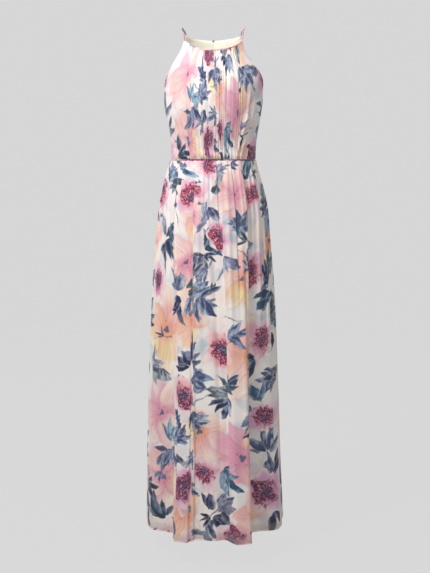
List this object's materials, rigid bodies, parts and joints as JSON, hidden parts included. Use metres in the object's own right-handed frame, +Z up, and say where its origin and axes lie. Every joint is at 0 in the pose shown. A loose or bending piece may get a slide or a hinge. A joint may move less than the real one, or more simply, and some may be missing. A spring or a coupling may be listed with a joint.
{
  "type": "halter-neck maxi dress",
  "caption": "Floor-length sleeveless halter dress in floral chiffon, filled out as worn: pleated front bodice, corded waist seam, long gathered skirt and thin rouleau straps.",
  "frame": {"origin": "midway between the tops of the two shoulder straps, where the wearer's shoulders hold the dress", "axes": "+Z up along the dress, the front of the dress faces -Y, +X to the right as seen from the front"},
  "size_m": [0.416, 0.4371, 1.4828],
  "materials": {
    "printed_chiffon": "matt floral print on ivory chiffon",
    "cream_lining": "plain cream lining",
    "covered_button": "dark cloth-covered button"
  },
  "bodies": {
    "root": {"bodice_front": "printed_chiffon", "back_left": "printed_chiffon", "back_right": "printed_chiffon", "lining_left": "cream_lining", "lining_right": "cream_lining", "skirt_front": "printed_chiffon", "skirt_back": "printed_chiffon", "waist_piping": "printed_chiffon", "neck_binding": "printed_chiffon", "strap_left": "printed_chiffon", "strap_right": "printed_chiffon", "button_loop": "cream_lining", "neck_button": "covered_button"}
  },
  "joints": []
}
